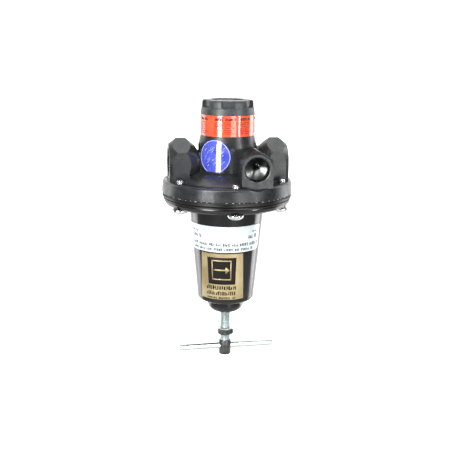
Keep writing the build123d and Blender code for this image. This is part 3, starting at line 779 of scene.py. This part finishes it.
def red_band():
    """The clear-coated band on the tower, with blocks of illegible print."""
    wall = LabelWall("red_band_label")
    low, high = (corner.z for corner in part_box("red_band_label"))
    heights = [low, low + RED_EDGE, (low + high) / 2, high - RED_EDGE, high]
    ring = ring_shape(wall, heights, FILM_DEPTH)
    band = piece("red_band_film", *ring, LOOKS["label_red"], "body", "label_red", FILM_SHARP)
    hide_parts("red_band_label")
    title = high - RED_TITLE_DROP
    lines = []
    for block_start, block_end in RED_BLOCKS:
        top = title + RED_TITLE_HEIGHT
        lines += words(block_start + 2, block_end, title, top, stroke=2.0, gap=0.7, longest=8)
        for row in range(RED_ROWS):
            base = title - RED_ROW_DROP - RED_ROW_PITCH * row
            reach = block_end - RNG.uniform(0, 6)
            top = base + RED_ROW_HEIGHT
            lines += words(block_start, reach, base, top, stroke=1.4, gap=0.6, longest=8)
    piece("red_band_print", *bars(wall, lines), RED_INK, "body", "label_red")


WHITE_CORNER = 3.0 * MM


def white_label():
    """The rating label: illegible grey words where a maker prints the limits."""
    wall, (low, high), (start, end) = film_label("white_film", "white_label", "label_white", WHITE_CORNER)
    lines = []
    # Each line: foot over the label's edge, height, first and last azimuth, width of a stroke in degrees
    for base, tall, first, last, stroke in (
        (1.5 * MM, 2.6 * MM, start + 22, end - 14, 1.5),
        (5.8 * MM, 2.9 * MM, start + 20, end - 4, 1.6),
        (12.6 * MM, 3.2 * MM, start + 22, start + 42, 1.7),
        (12.2 * MM, 3.4 * MM, end - 27, end - 8, 1.8),
        (17.6 * MM, 2.0 * MM, start + 20, start + 38, 1.4),
        (17.6 * MM, 1.6 * MM, end - 20, end - 9, 0.9),
    ):
        foot = low + base
        lines += words(first, last, foot, foot + tall, stroke, gap=0.6 * stroke, longest=6)
    piece("white_label_print", *bars(wall, lines), GREY_INK, "body", "label_white")


GOLD_CORNER = 0.8 * MM
# The gold plate's print, in millimetres from its centre line and over its lower edge
BADGE_HALF = 13
BADGE_BOTTOM = 14.6
BADGE_ROW = 2.6
BADGE_ROWS = 11
# Left, right, bottom and top of each line of print, and the width of a stroke in degrees
GOLD_LINES = (
    (-15.2, 15.2, 9.4, 13.4, 2.2),
    (-15.2, 15.2, 4.0, 7.8, 1.9),
    (-15.0, 15.0, 0.5, 2.5, 1.4),
)
# The square round the arrow, and the arrow's shaft
SYMBOL_BARS = (
    (-9, 9, 37.0, 38.0),
    (-9, 9, 19.0, 20.0),
    (-9, -8, 20.0, 37.0),
    (8, 9, 20.0, 37.0),
    (-7.2, 4.0, 27.9, 29.1),
)
ARROW_LEFT = 3.6
ARROW_HEIGHT = 28.5
ARROW_HALF = 3.2
ARROW_STEP = 0.45
ARROW_STEPS = 8


def arrow_head():
    """The arrow's head as upright bars that get shorter to the right."""
    bits = []
    for step in range(ARROW_STEPS):
        half = ARROW_HALF * (1 - step / ARROW_STEPS)
        left = ARROW_LEFT + ARROW_STEP * step
        bits.append((left, left + ARROW_STEP, ARROW_HEIGHT - half, ARROW_HEIGHT + half))
    return bits


def gold_label():
    """The foil plate: a plain arrow in a square over three lines of illegible print."""
    wall, (low, high), (start, end) = film_label(
        "gold_film", "gold_label", "label_gold", GOLD_CORNER, straight=True
    )
    middle = (start + end) / 2
    per_mm = math.degrees(MM / wall.radius((low + high) / 2))

    def block(left, right, bottom, top):
        return middle + left * per_mm, middle + right * per_mm, low + bottom * MM, low + top * MM

    badge_rows = [low + (BADGE_BOTTOM + BADGE_ROW * step) * MM for step in range(BADGE_ROWS)]
    badge_sides = block(-BADGE_HALF, BADGE_HALF, 0, 0)[:2]
    dark = [printed_patch(wall, badge_sides, badge_rows, INK_LIFT, INK_DEPTH)]
    for *edges, stroke in GOLD_LINES:
        dark.append(bars(wall, words(*block(*edges), stroke, gap=0.75 * stroke, longest=40)))
    piece("gold_label_print", *merged(dark), BLACK_INK, "body", "label_gold")
    symbol = [block(*edges) for edges in (*SYMBOL_BARS, *arrow_head())]
    shape = bars(wall, symbol, INK_LIFT + INK_DEPTH)
    piece("gold_label_symbol", *shape, LOOKS["label_gold"], "body", "label_gold")


def sticker_shape(wall, centre_azimuth, centre_height, radii, lift, depth, floor, steps=72):
    """A closed disc or ring that follows the body, cut off below a floor.

    The radii are as seen from straight ahead of it.
    """
    vertices = []
    for level in (lift, lift + depth):
        for ring in radii:
            for step in range(steps):
                turn = 2 * math.pi * step / steps
                height = max(floor, centre_height + ring * math.sin(turn))
                reach = wall.radius(height)
                azimuth = centre_azimuth + math.degrees(math.asin(ring * math.cos(turn) / reach))
                vertices.append(around(azimuth, reach + level, height))
    size = len(radii) * steps
    faces = grid_faces(len(radii), steps, 0, wrap=True)
    faces += grid_faces(len(radii), steps, size, wrap=True)
    for row in (0, len(radii) - 1):
        for step in range(steps):
            a, b = row * steps + step, row * steps + (step + 1) % steps
            faces.append((a, b, b + size, a + size))
    return vertices, faces


STICKER_RINGS = 8
STICKER_EYE = 0.02 * MM      # radius of the first ring
STICKER_RIM = (0.9 * MM, 0.45 * MM)      # the pale rim's inner and outer edge, in from the sticker's own
STICKER_FOOT = 0.3 * MM      # the rim stays this far over the sticker's flat foot
BRUSH_MARKS = 46
BRUSH_REACH = 11.5
BRUSH_BITS = 4
BRUSH_WIDTH = 0.55
BRUSH_HEIGHT = 0.3


def brush_marks(wall, azimuth, height):
    """Faint marks that slant up to the right, each made of a few stepped bars. Sizes are in millimetres."""
    per_mm = math.degrees(MM / wall.radius(height))
    marks = []
    for _ in range(BRUSH_MARKS):
        across = RNG.uniform(-11, 9)
        up = RNG.uniform(-9, 9)
        if math.hypot(across, up) > BRUSH_REACH:
            continue
        length = RNG.uniform(1.0, 3.4)
        for bit in range(BRUSH_BITS):
            left = azimuth + (across + bit * length * 0.22) * per_mm
            base = height + (up + bit * length / BRUSH_BITS) * MM
            sides, ends = (left, left + BRUSH_WIDTH * per_mm), (base, base + BRUSH_HEIGHT * MM)
            marks.append(printed_patch(wall, sides, ends, INK_LIFT, INK_DEPTH, 1))
    return marks


def blue_sticker():
    """A round blue sticker with a pale rim and faint slanting brush marks."""
    wall = LabelWall("blue_sticker")
    low, high = (corner.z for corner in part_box("blue_sticker"))
    first, last = label_azimuths("blue_sticker")
    azimuth = (first + last) / 2
    radius = (wall.radius((high + low) / 2) - FILM_DEPTH) * math.sin(math.radians((last - first) / 2))
    height = high - radius
    rings = [STICKER_EYE] + [radius * share / STICKER_RINGS for share in range(1, STICKER_RINGS + 1)]
    disc = sticker_shape(wall, azimuth, height, rings, -FILM_DEPTH, FILM_DEPTH, low)
    cover = piece("blue_disc", *disc, LOOKS["label_blue"], "body", "label_blue", FILM_SHARP)
    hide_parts("blue_sticker")
    edges = [radius - inset for inset in STICKER_RIM]
    rim = sticker_shape(wall, azimuth, height, edges, INK_LIFT, INK_DEPTH, low + STICKER_FOOT)
    marks = [rim] + brush_marks(wall, azimuth, height)
    piece("blue_disc_print", *merged(marks), PALE_INK, "body", "label_blue")


FABRIC_ENDS = 70
FABRIC_DEPTH = 0.25 * MM


def diaphragm_edge():
    """Short fabric ends that show along the diaphragm's clamped rim."""
    low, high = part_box("diaphragm")
    radius = (high.x - low.x) / 2
    rim = Cone(low.z, radius, high.z, radius)
    top = high.z - FABRIC_DEPTH
    marks = []
    for step in range(FABRIC_ENDS):
        azimuth = 360 / FABRIC_ENDS * step + RNG.uniform(-2.2, 2.2)
        tall = RNG.uniform(0.2, 0.7) * MM
        wide = RNG.uniform(0.4, 2.4)
        marks.append(printed_patch(rim, (azimuth, azimuth + wide), (top - tall, top), 0, FABRIC_DEPTH, 2))
    piece("diaphragm_fabric_ends", *merged(marks), FABRIC, "body", "rubber")


# ---------------------------------------------------------------- stage

FLOOR_HEIGHT = -0.5
FLOOR_THICKNESS = 0.01
STAGE_RADIUS = 1.7
STAGE_STEPS = 96
SWEEP_START = 0.3            # how far behind the regulator the bright sweep begins
SWEEP_WIDTH = 1.5            # to each side
SWEEP_HEIGHT = 1.6
SWEEP_BEND = 0.5
SWEEP_STEPS = 12
SWEEP_GREY = 0.9
SWEEP_GLOW = 1.12
FLOOR_GREY = 0.55
WORLD_GREY = 0.1


def card(name, grey, glow=0.0):
    """Matt card that may also give light."""
    surface = Surface(name, (grey, grey, grey), 0.9, specular=0.1)
    surface.shader.inputs["Emission Color"].default_value = (1, 1, 1, 1)
    surface.shader.inputs["Emission Strength"].default_value = glow
    return surface.material


def set_piece(name, vertices, faces, material):
    mesh = bpy.data.meshes.new(name)
    mesh.from_pydata([tuple(v) for v in vertices], [], faces)
    mesh.materials.append(material)
    thing = bpy.data.objects.new(name, mesh)
    bpy.context.scene.collection.objects.link(thing)
    return thing


def sweep_path():
    """(distance behind the regulator, height) along the bright sweep, from the floor up the wall."""
    path = [(SWEEP_START, FLOOR_HEIGHT + MM)]
    for step in range(SWEEP_STEPS + 1):
        turn = math.pi / 2 * step / SWEEP_STEPS
        path.append((
            STAGE_RADIUS - SWEEP_BEND + SWEEP_BEND * math.sin(turn),
            FLOOR_HEIGHT + MM + SWEEP_BEND * (1 - math.cos(turn)),
        ))
    path.append((STAGE_RADIUS, SWEEP_HEIGHT))
    return path


def camera_side(azimuth):
    """An azimuth measured from the camera, as one measured from the front."""
    return azimuth + CAMERA_AZIMUTH


def studio():
    """A pale floor and a bright curved sweep behind the regulator, in a dim even room."""
    profile = [(0, FLOOR_HEIGHT), (STAGE_RADIUS, FLOOR_HEIGHT), (0, FLOOR_HEIGHT - FLOOR_THICKNESS)]
    floor = lathe(profile, STAGE_STEPS)
    set_piece("floor", *floor, card("floor_card", FLOOR_GREY))
    behind = (around(camera_side(180), 1, 0) - AXIS).normalized()
    across = behind.cross(Vector((0, 0, 1)))
    path = sweep_path()
    vertices = []
    for distance, height in path:
        for side in (-SWEEP_WIDTH, SWEEP_WIDTH):
            vertices.append(AXIS + behind * distance + across * side + Vector((0, 0, height)))
    set_piece("sweep", vertices, grid_faces(len(path), 2), card("sweep_card", SWEEP_GREY, SWEEP_GLOW))
    world = bpy.data.worlds.new("room")
    bpy.context.scene.world = world
    world.use_nodes = True
    background = world.node_tree.nodes["Background"]
    background.inputs["Color"].default_value = (WORLD_GREY, WORLD_GREY, WORLD_GREY, 1)
    background.inputs["Strength"].default_value = 1.0


def soft_box(name, azimuth, distance, height, size, power, aim):
    """A rectangular area light at an azimuth from the camera, aimed at a height on the axis."""
    data = bpy.data.lights.new(name, "AREA")
    data.shape = "RECTANGLE"
    data.size, data.size_y = size
    data.energy = power
    light = bpy.data.objects.new(name, data)
    place = around(camera_side(azimuth), distance, height)
    light.location = place
    light.rotation_mode = "QUATERNION"
    light.rotation_quaternion = (Vector((AXIS.x, AXIS.y, aim)) - place).to_track_quat("-Z", "Y")
    bpy.context.scene.collection.objects.link(light)


# Name, azimuth, distance, height, (width, height) of the light, watts, and the height it is aimed at
SOFT_BOXES = (
    ("key_strip", -32, 1.0, 0.3, (0.34, 0.95), 17, 0.1),
    ("second_strip", 50, 1.0, 0.3, (0.12, 0.9), 6, 0.1),
    ("left_edge", -118, 0.9, 0.05, (0.4, 1.2), 4, 0.0),
    ("right_edge", 118, 0.9, 0.05, (0.4, 1.2), 6, 0.0),
    ("overhead", 180, 0.4, 1.1, (1.0, 0.8), 6, 0.0),
    ("front_overhead", 0, 0.75, 0.7, (1.0, 0.2), 6, 0.0),
    ("low_front", 25, 1.3, -0.25, (0.5, 0.5), 4, 0.0),
)


def lights():
    for box in SOFT_BOXES:
        soft_box(*box)


def camera():
    data = bpy.data.cameras.new("camera")
    data.lens = CAMERA_LENS
    data.sensor_width = CAMERA_SENSOR
    view = bpy.data.objects.new("camera", data)
    view.location = around(CAMERA_AZIMUTH, CAMERA_DISTANCE, CAMERA_HEIGHT)
    heading = math.radians(CAMERA_AZIMUTH + CAMERA_SWING)
    look = Euler((math.radians(90 - CAMERA_PITCH), 0, heading)).to_quaternion()
    roll = Quaternion((0, 0, 1), math.radians(CAMERA_ROLL))
    view.rotation_mode = "QUATERNION"
    view.rotation_quaternion = look @ roll
    bpy.context.scene.collection.objects.link(view)
    bpy.context.scene.camera = view


dress_frame()
pipe_threads()
adjusting_screw()
flange_screws()
red_band()
white_label()
gold_label()
blue_sticker()
diaphragm_edge()
studio()
lights()
camera()
bpy.context.scene.view_settings.view_transform = "Standard"
